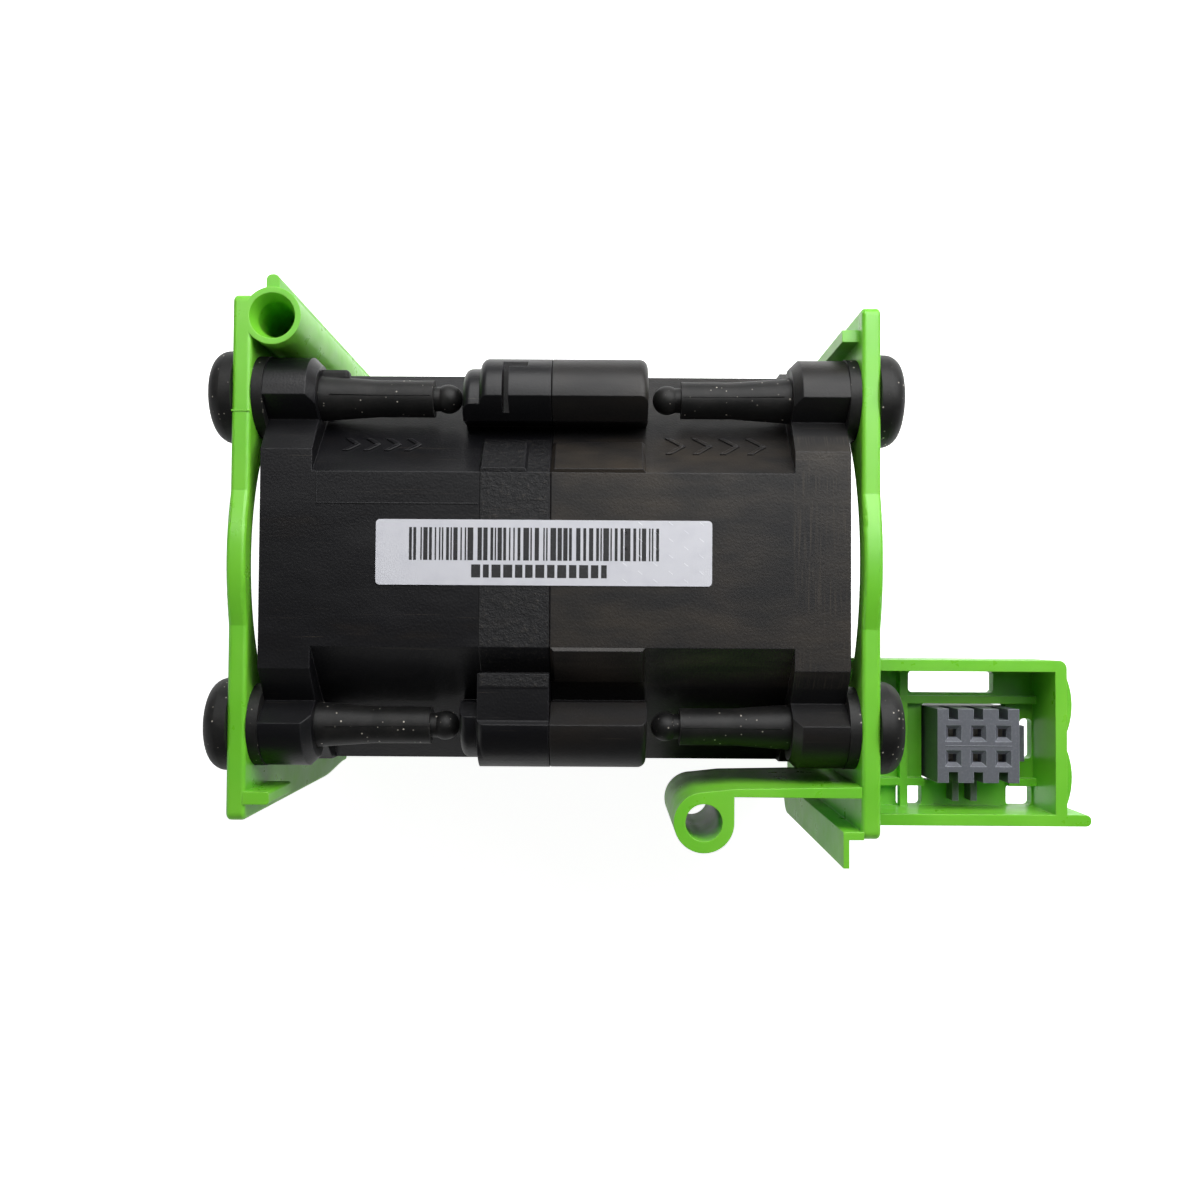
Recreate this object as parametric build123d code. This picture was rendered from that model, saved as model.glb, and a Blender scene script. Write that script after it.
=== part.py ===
from build123d import *
import os
from math import cos, radians, sqrt

# Server fan module: two counter-rotating 40 mm fans joined end to end, hung on rubber
# isolators in a moulded carrier with two guide bores and a caged 2 by 3 receptacle.
# Frame: +X is the airflow, +Z points at the connector side, the module rests at Z = 0
# on the carrier's bridge, and the origin lies on that face under the fan's centre.
# Y and Z places of the fan and of the plates are measured from the fan's axis.
# All sizes are in millimetres and all angles in degrees.

# Fan body
fan_size = 40.0
inlet_length = 27.5
outlet_length = 28.5
seam_x = -0.5
duct_wall = 1.2
inlet_flange = 4.9
outlet_flange = 5.3
lobe_radius = 4.4
notch_depth = 2.4
lobe_root = 0.54
notch_run = 3.2
hole_web = 1.03
flange_bevel = 0.8
seam_bevel = 0.12
shank_clearance = 0.05
inlet_boss = 8.6
outlet_boss = 9.3
boss_rounding = 0.8
step_length = 1.7
step_inset = 0.8
block_length = 6.8
block_width = 9.2
block_drop = 0.4
block_rounding = 3.8
clip_slot = 0.6
clip_arm = 0.7
clip_reach = 4.7
clip_hook = 2.3
clip_inset = 0.7
clip_depth = 2.0
barrel_sides = 8

# Carrier plates and bridge
bridge_thickness = 1.6
bridge_gap = 0.5
plate_thickness = 1.8
plate_gap = 1.05
opening_margin = 0.2
rim_width = 2.0
inlet_top_margin = 5.2
inlet_bottom_margin = 4.8
outlet_top_margin = 4.3
outlet_bottom_margin = 6.2
toe_inset = 0.8
toe_height = 11.0
plate_corner = 0.8
plate_edge = 0.4
bridge_top_margin = 2.0
bridge_bottom_margin = 1.0
waist_depth = 5.0
waist_length = 34.0
waist_rounding = 2.2

# Guide tube, ribs, guide arm, foot and fin of the carrier
guide_bore_radius = 1.75
guide_mouth_radius = 2.2
guide_mouth_depth = 1.5
guide_wall = 1.0
tube_inset = 0.8
tube_margin = 0.35
tube_bore_depth = 30.0
tube_fin_height = 1.3
tube_fin_width = 1.3
tube_fin_drop = 0.3
tube_fin_rounding = 0.58
inlet_rib_margin = 2.65
inlet_rib_width = 1.2
inlet_rib_reach = 2.3
inlet_rib_depth = 7.5
outlet_rib_margin = 1.85
outlet_rib_width = 1.15
outlet_rib_reach = 1.6
outlet_rib_drop = 1.5
rib_rounding = 0.3
ring_wall = 1.1
ring_reach = 14.85
ring_margin = 4.67
arm_margin = 1.25
arm_slope = 0.25
arm_thickness = 1.05
arm_tip_thickness = 0.75
arm_depth = 15.7
foot_reach = 1.75
foot_thickness = 0.75
fin_thickness = 0.55
fin_drop = 2.65
fin_depth = 34.3
weld = 0.2

# Connector cage of the carrier
cage_length = 20.4
cage_height = 16.6
cage_lift = 0.2
cage_wall = 1.15
cage_rim_drop = 7.0
cage_depth = 6.0
cage_floor = 1.3
ledge_reach = 2.4
ledge_rounding = 0.52
cage_corner = 0.8
bump_reach = 0.9
bump_margin = 0.9
bump_drop = 1.0
slot_width = 2.3
slot_length = 9.0
slot_margin = 0.15
slot_shift = 1.35
port_length = 2.7
port_width = 2.2
side_port_length = 4.2
side_port_width = 1.3
side_port_margin = 0.1
side_port_rise = 0.35
floor_rib_width = 0.8
floor_rib_height = 1.0
floor_rib_offset = 1.75
floor_rib_rise = 0.3
port_rounding = 0.45

# Connector
pitch = 2.54
columns = 3
rows = 2
connector_offset_x = 11.95
connector_offset_y = 7.85
connector_side = 0.34
connector_edge = 1.21
connector_length = 14.0
connector_drop = 8.3
contact_mouth = 1.5
contact_hole = 0.85
contact_cavity = 1.6
contact_wall = 0.2
contact_length = 8.0
mouth_chamfer = 0.4
key_width = 0.95
key_depth = 1.1
key_length = 4.5
ear_width = 0.65
ear_reach = 2.2
ear_height = 2.0
ear_spacing = 1.9
ear_shift = 0.55
collar_width = 0.5
collar_height = 1.2
latch_reach = 1.5
latch_width = 3.7
latch_height = 2.0

# Rubber isolators
head_radius = 4.5
head_height = 2.5
head_rim = 1.1
head_face_radius = 2.9
head_dome_height = 2.05
head_dome_radius = 4.05
neck_radius = 2.5
neck_clearance = 0.1
flange_radius = 4.0
shank_radius = 2.2
tail_radius = 1.8
tail_flare = 5.5
tail_end_x = 12.1
tail_neck_radius = 1.2
tail_neck_length = 0.6
ball_radius = 1.42

# Label
label_length = 31.8
label_width = 6.2
label_thickness = 0.1
label_corner = 0.4
label_shift_x = -0.55
label_shift_y = 0.65

# Motor base and guide vanes
base_gap = 0.3
base_thickness = 2.0
ledge_width = 1.5
vane_axial = 4.6
vane_thickness = 1.1
vane_stagger = 24.0
vane_camber = 0.6
inlet_vanes = 6
outlet_vanes = 5

# Stationary motor pieces
bearing_radius = 3.0
bearing_width = 2.3
bearing_ring = 0.55
shield_recess = 0.15
bearing_start = 3.2
tube_wall = 0.7
tube_end = 18.6
board_thickness = 0.8
board_radius = 9.2
board_standoff = 0.6
board_hole_margin = 0.2
chip_height = 0.6
chips = ((20, 1.6, 2.1), (130, 2.0, 2.6), (250, 1.8, 2.3))
stator_start = 6.6
stator_thickness = 9.0
stator_radius = 8.3
yoke_wall = 0.9
tooth_count = 4
tooth_width = 2.6
tooth_tip = 1.0
tooth_gap = 2.2
coil_thickness = 1.2
coil_rounding = 0.95

# Rotors
air_gap = 0.35
magnet_thickness = 1.0
magnet_length = 11.0
magnet_start = 5.6
cup_wall = 0.55
cup_start = 5.0
cup_length = 17.6
cup_boss_radius = 2.2
cup_boss_length = 1.6
hub_wall = 0.9
hub_cap = 1.2
hub_rounding = 1.0
tip_gap = 0.45
shaft_radius = 1.0
shaft_start = 1.3
shaft_chamfer = 0.15
clip_thickness = 0.3
clip_radius = 1.9
groove_share = 0.75
spring_wire = 0.25
spring_radius = 1.5
spring_turns = 2.5
spring_sides = 6
blade_thickness = 1.0
blade_edge = 0.35
blade_start = 8.0
blade_axial = 14.5
blade_camber = 1.5
blade_root_depth = 1.2
inlet_blades = 7
outlet_blades = 5
inlet_stagger = (28.0, 47.0)
outlet_stagger = (33.0, 52.0)

# Clearances
seat_gap = 0.02
run_gap = 0.02
side_gap = 0.3

# Derived places
half = fan_size / 2
axis_z = bridge_thickness + bridge_gap + half
near_z = axis_z + half
duct_radius = half - duct_wall
flange_hole_radius = shank_radius + shank_clearance
inlet_end_x = seam_x - inlet_length
outlet_end_x = seam_x + outlet_length
inlet_wall_x = inlet_end_x - plate_gap
outlet_wall_x = outlet_end_x + plate_gap
inlet_face_x = inlet_wall_x - plate_thickness
outlet_face_x = outlet_wall_x + plate_thickness
middle_x = (inlet_wall_x + outlet_wall_x) / 2
opening_radius = duct_radius + opening_margin
neck_hole_radius = neck_radius + neck_clearance
hole_offset = (opening_radius + hole_web + neck_hole_radius) / sqrt(2)
valley = half / sqrt(2) - lobe_root
tube_radius = guide_bore_radius + guide_wall
ring_radius = guide_bore_radius + ring_wall
tube_x = inlet_wall_x + tube_radius - tube_inset
tube_y = half + tube_margin + tube_radius
ring_x = outlet_wall_x - ring_reach
ring_y = -half - ring_margin
foot_y = -half - outlet_bottom_margin
cage_rim_z = near_z - cage_rim_drop
cage_floor_z = cage_rim_z - cage_depth
cage_low_z = cage_floor_z - cage_floor
cage_end_x = outlet_face_x + cage_length
cage_bottom_y = foot_y + cage_lift
cage_top_y = cage_bottom_y + cage_height
connector_x = outlet_face_x + connector_offset_x
connector_y = cage_bottom_y + connector_offset_y
connector_width = columns * pitch + 2 * connector_side
connector_height = rows * pitch + 2 * connector_edge
connector_face_z = near_z - connector_drop
tube_outer = bearing_radius + tube_wall
magnet_radius = stator_radius + air_gap
cup_radius = magnet_radius + magnet_thickness + seat_gap
hub_bore = cup_radius + cup_wall + seat_gap
hub_radius = hub_bore + hub_wall
cup_end = cup_start + cup_length
hub_end = cup_end + seat_gap + hub_cap
tip_radius = duct_radius - tip_gap
board_start = base_gap + base_thickness + board_standoff
board_top = board_start + board_thickness
far_bearing = tube_end - bearing_width

HOLE_PLACES = [(y * hole_offset, z * hole_offset) for y in (-1, 1) for z in (-1, 1)]


def box_between(x0, x1, y0, y1, z0, z1):
    """A box between two corners, given in any order."""
    middle = Pos((x0 + x1) / 2, (y0 + y1) / 2, (z0 + z1) / 2)
    return middle * Box(abs(x1 - x0), abs(y1 - y0), abs(z1 - z0))


def along_x(sketch, x0, x1):
    """A sketch drawn in (Y, Z) about the fan's axis, extruded from x0 to x1."""
    plane = Plane(origin=(min(x0, x1), 0, axis_z), x_dir=(0, 1, 0), z_dir=(1, 0, 0))
    return extrude(plane * sketch, amount=abs(x1 - x0))


def along_z(sketch, z0, z1):
    """A sketch drawn in (X, Y), extruded from z0 to z1."""
    return extrude(Pos(0, 0, min(z0, z1)) * sketch, amount=abs(z1 - z0))


def motor_ring(outer, inner, x0, x1):
    """A ring, or a bar where inner is 0, about the motor's own axis, X through the origin."""
    plane = Plane(origin=(x0, 0, 0), x_dir=(0, 1, 0), z_dir=(1, 0, 0))
    face = Circle(outer)
    if inner > 0:
        face -= Circle(inner)
    return extrude(plane * face, amount=x1 - x0)


def turned_copies(solid, count):
    """Copies of a solid turned evenly about the motor's own axis."""
    return [Rot(360 / count * index, 0, 0) * solid for index in range(count)]


def place_motor(solid, side):
    """Move a solid from the motor's own frame to the inlet (-1) or outlet (+1) end."""
    turned = solid if side > 0 else Rot(0, 0, 180) * solid
    return Pos(seam_x, 0, axis_z) * turned


def end_rounding(solid, count, radius, axis=Axis.X):
    """Round the last edges along Z of a solid in the direction of an axis."""
    return fillet(solid.edges().filter_by(Axis.Z).sort_by(axis)[-count:], radius)


def flange_sketch():
    """The square flange with rounded corner lobes set off by notches in each side."""
    ridge = half - lobe_radius
    outline = RectangleRounded(fan_size, fan_size, lobe_radius)
    notch = Polygon(
        (valley - notch_run, half), (valley, half - notch_depth), (ridge, half),
        (valley, half + notch_depth), align=None)
    for turn in range(4):
        outline -= Rot(0, 0, 90 * turn) * notch
        outline -= Rot(0, 0, 90 * turn) * mirror(notch, about=Plane.YZ)
    return outline


def barrel_sketch():
    """The many-sided barrel whose slopes leave room for the isolators."""
    return RegularPolygon(
        half, barrel_sides, major_radius=False, rotation=180 / barrel_sides)


def corner_lobe(sign_y, sign_z):
    """One corner of the flange outline, used for the bosses that join the housings."""
    corner = Pos(sign_y * (valley + fan_size) / 2, sign_z * (valley + fan_size) / 2)
    return flange_sketch() & (corner * Rectangle(fan_size - valley, fan_size - valley))


def lens_profile(chord, thick, edge, bulge):
    """A cambered blade section between two arcs, with blunt ends."""
    upper = ThreePointArc((-chord / 2, edge / 2), (0, bulge + thick / 2), (chord / 2, edge / 2))
    lower = ThreePointArc(
        (chord / 2, -edge / 2), (0, bulge - thick / 2), (-chord / 2, -edge / 2))
    return make_face([upper, Line(upper @ 1, lower @ 0), lower, Line(lower @ 1, upper @ 0)])


def radial_blade(root, tip, x_start, axial, stagger, thick, camber):
    """A twisted blade lofted through sections that stand on growing radii."""
    sections = []
    for share in (0.0, 0.5, 1.0):
        height = root + share * (tip - root)
        angle = stagger[0] + share * (stagger[1] - stagger[0])
        chord = axial / cos(radians(angle))
        profile = lens_profile(chord, thick, blade_edge, camber * (1 - share / 2))
        plane = Plane(origin=(x_start + axial / 2, 0, height), x_dir=(1, 0, 0), z_dir=(0, 0, 1))
        sections.append(plane * Rot(0, 0, angle) * profile)
    return loft(sections)


def motor_base(side):
    """The round base, its board ledge and its guide vanes, moulded with a housing."""
    base = motor_ring(hub_radius, tube_outer + seat_gap, base_gap, base_gap + base_thickness)
    base += motor_ring(board_radius, board_radius - ledge_width, base_gap, board_start)
    stagger = (-side * vane_stagger, -side * vane_stagger)
    vane = radial_blade(
        hub_radius - 2 * duct_wall, half, base_gap, vane_axial, stagger, vane_thickness,
        -side * vane_camber)
    reach = motor_ring(
        duct_radius + duct_wall / 2, hub_radius - duct_wall, base_gap, base_gap + vane_axial)
    count = inlet_vanes if side < 0 else outlet_vanes
    for copy in turned_copies(vane & reach, count):
        base += copy
    return base


def end_arcs(solid, side):
    """The arcs round the end face of a solid, on its inlet (-1) or outlet (+1) side."""
    end = solid.faces().sort_by(Axis.X)[-1 if side > 0 else 0]
    return [edge for edge in end.edges() if edge.geom_type == GeomType.CIRCLE]


def joint_boss(side, sign_y, sign_z):
    """One corner boss at the seam with a rounded end, and on the inlet side a lower step."""
    sketch = corner_lobe(sign_y, sign_z)
    if side > 0:
        boss = along_x(sketch, seam_x, seam_x + outlet_boss)
        return fillet(end_arcs(boss, side), boss_rounding)
    boss = along_x(sketch, seam_x, seam_x - inlet_boss + step_length)
    boss = fillet(end_arcs(boss, side), boss_rounding)
    width = fan_size - 2 * step_inset
    sketch &= RectangleRounded(width, width, lobe_radius)
    step = along_x(sketch, seam_x, seam_x - inlet_boss)
    return boss + fillet(end_arcs(step, side), boss_rounding)


def end_flange(end_x, side, thickness):
    """A notched flange with its lobes bevelled on the side that faces the seam."""
    flange = along_x(flange_sketch(), end_x - side * thickness, end_x)
    return chamfer(end_arcs(flange, -side), flange_bevel)


def housing(side):
    """One housing: barrel, flange, joint bosses, duct, isolator holes and motor base."""
    length = inlet_length if side < 0 else outlet_length
    flange = inlet_flange if side < 0 else outlet_flange
    end_x = seam_x + side * length
    body = along_x(barrel_sketch(), seam_x, end_x)
    body += end_flange(end_x, side, flange)
    for sign_y in (-1, 1):
        for sign_z in (-1, 1):
            body += joint_boss(side, sign_y, sign_z)
    if side < 0:
        for sign_z in (-1, 1):
            body += joint_block(sign_z)
            body -= clip_groove(sign_z)
    if side > 0:
        rim = body.edges().filter_by_position(Axis.X, seam_x - seat_gap, seam_x + seat_gap)
        body = chamfer(rim, seam_bevel)
    body -= along_x(Circle(duct_radius), seam_x, end_x)
    for y, z in HOLE_PLACES:
        body -= along_x(Pos(y, z) * Circle(flange_hole_radius), end_x - side * flange, end_x)
    return body + place_motor(motor_base(side), side)


def joint_block(sign_z):
    """The flat-faced block beside the seam at one lower corner of the inlet housing."""
    outer_z = axis_z + sign_z * (half - block_drop)
    inner_z = axis_z + sign_z * valley
    block = box_between(
        seam_x - block_length, seam_x, -half, block_width - half, inner_z, outer_z)
    outer_edges = block.edges().filter_by(Axis.X).sort_by(Axis.Z)
    outer_edges = outer_edges[-2:] if sign_z > 0 else outer_edges[:2]
    return fillet(outer_edges.sort_by(Axis.Y)[0], block_rounding)


def clip_groove(sign_z):
    """The L-shaped slit that frees a snap arm on an upper joint boss."""
    root_x = seam_x - clip_reach
    arm_y = half - clip_arm
    outer_z = axis_z + sign_z * half
    inner_z = axis_z + sign_z * (half - clip_depth)
    drop = box_between(
        root_x, root_x + clip_slot, valley + clip_inset, arm_y, inner_z, outer_z)
    run = box_between(root_x, seam_x - clip_hook, arm_y - clip_slot, arm_y, inner_z, outer_z)
    return drop + run


def impeller(side):
    """A capped hub with twisted blades."""
    stagger = inlet_stagger if side < 0 else outlet_stagger
    hub = motor_ring(hub_radius, 0, cup_start, hub_end)
    hub = fillet(hub.edges().filter_by(GeomType.CIRCLE).sort_by(Axis.X)[-1], hub_rounding)
    hub -= motor_ring(hub_bore, 0, cup_start, cup_end + seat_gap)
    root = hub_radius - hub_wall / 2
    blade = radial_blade(
        root - blade_root_depth, tip_radius + tip_gap, blade_start, blade_axial,
        (side * stagger[0], side * stagger[1]), blade_thickness, side * blade_camber)
    reach = motor_ring(
        tip_radius, root, blade_start - blade_thickness,
        blade_start + blade_axial + blade_thickness)
    for copy in turned_copies(blade & reach, inlet_blades if side < 0 else outlet_blades):
        hub += copy
    return hub


def rotor_cup():
    """The steel cup that closes the magnetic circuit, with the boss that grips the shaft."""
    inner_end = cup_end - cup_wall
    cup = motor_ring(cup_radius + cup_wall, 0, cup_start, cup_end)
    cup -= motor_ring(cup_radius, 0, cup_start, inner_end)
    cup += motor_ring(cup_boss_radius, 0, inner_end - cup_boss_length, inner_end)
    return cup - motor_ring(shaft_radius + seat_gap, 0, cup_start, cup_end)


def magnet_ring():
    """The moulded ring magnet glued inside the cup."""
    return motor_ring(
        magnet_radius + magnet_thickness, magnet_radius, magnet_start,
        magnet_start + magnet_length)


def shaft():
    """The steel shaft with the groove that takes the retaining clip."""
    bar = motor_ring(shaft_radius, 0, shaft_start, cup_end)
    bar = chamfer(bar.edges().filter_by(GeomType.CIRCLE), shaft_chamfer)
    end = bearing_start - run_gap
    return bar - motor_ring(2 * shaft_radius, groove_share * shaft_radius, end - clip_thickness, end)


def retaining_clip():
    """The open washer that snaps into the shaft's groove below the inner bearing."""
    end = bearing_start - 2 * run_gap
    start = bearing_start - clip_thickness
    washer = motor_ring(clip_radius, groove_share * shaft_radius + seat_gap, start, end)
    mouth = Pos(start, 0, clip_radius / 2) * Box(2 * clip_thickness, shaft_radius, clip_radius)
    return washer - mouth


def bearings():
    """Two ball bearings, each with a shield sunk between its rings."""
    outer = bearing_radius - seat_gap
    inner = shaft_radius + run_gap
    pair = []
    for start in (bearing_start, far_bearing):
        end = start + bearing_width
        solid = motor_ring(outer, inner, start, end)
        for low in (start, end - shield_recess):
            solid -= motor_ring(
                outer - bearing_ring, inner + bearing_ring, low, low + shield_recess)
        pair.append(solid)
    return pair


def bearing_tube():
    """The brass tube pressed in the base, with a shoulder between the bearings."""
    tube = motor_ring(tube_outer, bearing_radius, base_gap, tube_end)
    shoulder = motor_ring(
        tube_outer, bearing_radius - bearing_ring, bearing_start + bearing_width, far_bearing)
    return tube + shoulder


def stator_core():
    """The laminated core on the bearing tube: yoke, teeth and curved tooth tips."""
    reach = stator_radius - tooth_tip / 2
    core = Circle(tube_outer + seat_gap + yoke_wall)
    tips = Circle(stator_radius) - Circle(stator_radius - tooth_tip)
    for index in range(tooth_count):
        turn = Rot(0, 0, 360 / tooth_count * index)
        core += turn * Pos(reach / 2, 0) * Rectangle(reach, tooth_width)
        between = Rot(0, 0, 180 / tooth_count)
        tips -= turn * between * Pos(stator_radius, 0) * Rectangle(stator_radius, tooth_gap)
    core = core + tips - Circle(tube_outer + seat_gap)
    plane = Plane(origin=(stator_start, 0, 0), x_dir=(0, 1, 0), z_dir=(1, 0, 0))
    return extrude(plane * core, amount=stator_thickness)


def stator_coils():
    """One wound coil round the neck of each tooth, clear of its curved tip."""
    half_width = tooth_width / 2 + coil_thickness
    inner = tube_outer + seat_gap + yoke_wall + side_gap / 2
    tip_inside = stator_radius - tooth_tip
    outer = sqrt(tip_inside**2 - half_width**2) - side_gap / 2
    block = Box(stator_thickness + 2 * coil_thickness, 2 * half_width, outer - inner)
    block = fillet(block.edges().filter_by(Axis.Z), coil_rounding)
    window = Box(stator_thickness + 2 * seat_gap, tooth_width + 2 * seat_gap, outer)
    centre_x = stator_start + stator_thickness / 2
    coil = Pos(centre_x, 0, (inner + outer) / 2) * (block - window)
    return turned_copies(coil, tooth_count)


def circuit_board():
    """The round drive board on the base's ledge, with its sensor and driver chips."""
    board = motor_ring(board_radius, tube_outer + board_hole_margin, board_start, board_top)
    chip_radius = (board_radius + tube_outer) / 2
    for angle, width, length in chips:
        chip = Pos(board_top + chip_height / 2, 0, chip_radius) * Box(chip_height, length, width)
        board += Rot(angle, 0, 0) * chip
    return board


def preload_spring():
    """The small coil spring between the cup's boss and the outer bearing."""
    margin = 2 * run_gap + spring_wire / 2
    start = tube_end + margin
    room = cup_end - cup_wall - cup_boss_length - margin - start
    coil = Helix(room / spring_turns, room, spring_radius, direction=(1, 0, 0))
    path = Pos(start, 0, 0) * coil
    section = RegularPolygon(spring_wire / 2, spring_sides)
    wire = Plane(origin=path @ 0, z_dir=path % 0) * section
    return sweep(wire, path=path, is_frenet=True)


def plate_sketch(top_margin, bottom_margin):
    """An end plate in (Y, Z from the axis): straight sides, a bowed near edge, an S toe."""
    top = half + top_margin
    bottom = -half - bottom_margin
    toe = Spline(
        (bottom, toe_height - axis_z), (bottom + toe_inset, -axis_z),
        tangents=[(0, -1), (0, -1)])
    sides = Polyline(
        (bottom + toe_inset, -axis_z), (top, -axis_z), (top, half), (bottom, half),
        (bottom, toe_height - axis_z))
    outline = make_face([*sides.edges(), toe])
    outline = fillet([v for v in outline.vertices() if v.Y > half - seat_gap], plate_corner)
    rim_radius = opening_radius + rim_width
    bow = Circle(rim_radius) & (Pos(0, half) * Rectangle(2 * rim_radius, 2 * (rim_radius - half)))
    outline = outline + bow - Circle(opening_radius)
    for y, z in HOLE_PLACES:
        outline -= Pos(y, z) * Circle(neck_hole_radius)
    return outline


def end_plate(top_margin, bottom_margin, wall_x, face_x):
    """An end plate with the long edges of its near end rounded."""
    plate = along_x(plate_sketch(top_margin, bottom_margin), wall_x, face_x)
    edges = [
        edge for edge in plate.edges()
        if edge.center().Z > near_z - seat_gap and edge.length > plate_thickness
    ]
    return fillet(edges, plate_edge)


def inlet_wall():
    """Inlet end of the carrier: plate, guide tube with its fin, and the lower rib."""
    wall = end_plate(inlet_top_margin, inlet_bottom_margin, inlet_wall_x, inlet_face_x)
    centre = Pos(tube_x, tube_y)
    wall += along_z(centre * Circle(tube_radius), 0, near_z)
    fin_half = tube_fin_width / 2
    fin = box_between(
        tube_x - fin_half, tube_x + fin_half, tube_y, tube_y + tube_radius + tube_fin_height,
        0, near_z - tube_fin_drop)
    wall += end_rounding(fin, 2, tube_fin_rounding, Axis.Y)
    rib_y = -half - inlet_rib_margin
    rib = box_between(
        inlet_wall_x - weld, inlet_wall_x + inlet_rib_reach, rib_y - inlet_rib_width / 2,
        rib_y + inlet_rib_width / 2, near_z - inlet_rib_depth, near_z)
    wall += end_rounding(rib, 2, rib_rounding)
    wall -= Pos(tube_x, tube_y, near_z - guide_mouth_depth / 2) * Cone(
        guide_bore_radius, guide_mouth_radius, guide_mouth_depth)
    return wall - along_z(centre * Circle(guide_bore_radius), near_z - tube_bore_depth, near_z)


def outlet_wall():
    """Outlet end of the carrier: plate, rib, foot and fin."""
    wall = end_plate(outlet_top_margin, outlet_bottom_margin, outlet_wall_x, outlet_face_x)
    rib_y = half + outlet_rib_margin
    rib = box_between(
        outlet_wall_x - outlet_rib_reach, outlet_wall_x + weld, rib_y - outlet_rib_width / 2,
        rib_y + outlet_rib_width / 2, bridge_thickness, near_z - outlet_rib_drop)
    return wall + rib + foot_fin()


def guide_arm():
    """The tapering arm that ends in the guide ring."""
    top_y = -half - arm_margin
    tip_x = ring_x + ring_radius
    outline = Polygon(
        (outlet_wall_x, top_y), (tip_x, top_y - arm_slope), (ring_x, ring_y + ring_radius),
        (ring_x, ring_y), (tip_x, ring_y), (tip_x, top_y - arm_slope - arm_tip_thickness),
        (outlet_wall_x, top_y - arm_thickness), align=None)
    profile = outline + Pos(ring_x, ring_y) * Circle(ring_radius)
    profile -= Pos(ring_x, ring_y) * Circle(guide_bore_radius)
    return along_z(profile, near_z - arm_depth, near_z)


def foot_fin():
    """The ledge under the outlet plate and the thin fin that drops from it."""
    fin_x = outlet_wall_x - foot_reach
    top = foot_y + foot_thickness
    low_z = near_z - fin_depth
    ledge = box_between(fin_x, outlet_wall_x + weld, foot_y, top, low_z, near_z)
    fin = box_between(fin_x, fin_x + fin_thickness, foot_y - fin_drop, top, low_z, near_z)
    corner = fin.edges().filter_by(Axis.X).sort_by(Axis.Z)[:2].sort_by(Axis.Y)[0]
    return ledge + fillet(corner, fin_drop)


def bridge():
    """The waisted panel that joins the two end plates and carries the part at rest."""
    top = half + bridge_top_margin
    bottom = -half - bridge_bottom_margin
    reach = outlet_wall_x - inlet_wall_x
    panel = Pos(middle_x, (top + bottom) / 2) * Rectangle(reach, top - bottom)
    for edge in (top, bottom):
        panel -= Pos(middle_x, edge) * Rectangle(waist_length, 2 * waist_depth)
    corners = [v for v in panel.vertices() if abs(v.X - middle_x) < reach / 2 - seat_gap]
    panel = fillet(corners, waist_rounding)
    panel -= Pos(tube_x, tube_y) * Circle(tube_radius + seat_gap)
    return along_z(panel, 0, bridge_thickness)


def connector_cage():
    """The open box beside the outlet plate that shields the receptacle."""
    x0 = outlet_face_x
    x1 = cage_end_x
    cage = box_between(x0, x1, cage_bottom_y, cage_top_y, cage_low_z, cage_rim_z)
    corner = cage.edges().filter_by(Axis.Z).sort_by(Axis.X)[-2:].sort_by(Axis.Y)[-1]
    cage = fillet(corner, cage_corner)
    cage -= box_between(
        x0, x1 - cage_wall, cage_bottom_y + cage_wall, cage_top_y - cage_wall,
        cage_floor_z, cage_rim_z)
    ledge = box_between(
        x1 - cage_wall, x1 + ledge_reach, cage_bottom_y, cage_bottom_y + cage_wall,
        cage_low_z, cage_rim_z)
    cage += end_rounding(ledge, 2, ledge_rounding)
    low_y = cage_bottom_y + cage_wall
    high_y = cage_top_y - bump_margin
    middle_y = (low_y + high_y) / 2
    for start, end in ((low_y, middle_y), (middle_y, high_y)):
        cage += along_z(side_bump(start, end), cage_low_z, cage_rim_z - bump_drop)
    for window in cage_windows():
        cage -= along_z(window, cage_low_z, cage_floor_z)
    return cage + floor_ribs()


def side_bump(start, end):
    """A shallow bulge between two heights on the cage's outer side, in (X, Y)."""
    root_x = cage_end_x - weld
    crest = ThreePointArc(
        (cage_end_x, start), (cage_end_x + bump_reach, (start + end) / 2), (cage_end_x, end))
    back = Polyline((cage_end_x, end), (root_x, end), (root_x, start), (cage_end_x, start))
    return make_face([crest, *back.edges()])


def floor_ribs():
    """The low ribs that stiffen the cage's floor round the receptacle's port."""
    top = cage_floor_z + floor_rib_height
    inside_x = cage_end_x - cage_wall
    port_half_x = connector_width / 2 + side_gap
    port_half_y = connector_height / 2 + side_gap
    rib_x = connector_x - port_half_x - floor_rib_offset
    upper_y = connector_y + port_half_y
    lower_y = connector_y - port_half_y + floor_rib_rise
    ribs = box_between(
        rib_x - floor_rib_width, rib_x, cage_bottom_y + cage_wall, cage_top_y - cage_wall,
        cage_floor_z, top)
    ribs += box_between(rib_x, inside_x, upper_y, upper_y + floor_rib_width, cage_floor_z, top)
    for start, end in ((outlet_face_x, connector_x - port_half_x),
                       (connector_x + port_half_x, inside_x)):
        ribs += box_between(
            start, end, lower_y - floor_rib_width, lower_y, cage_floor_z, top)
    return ribs


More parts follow.
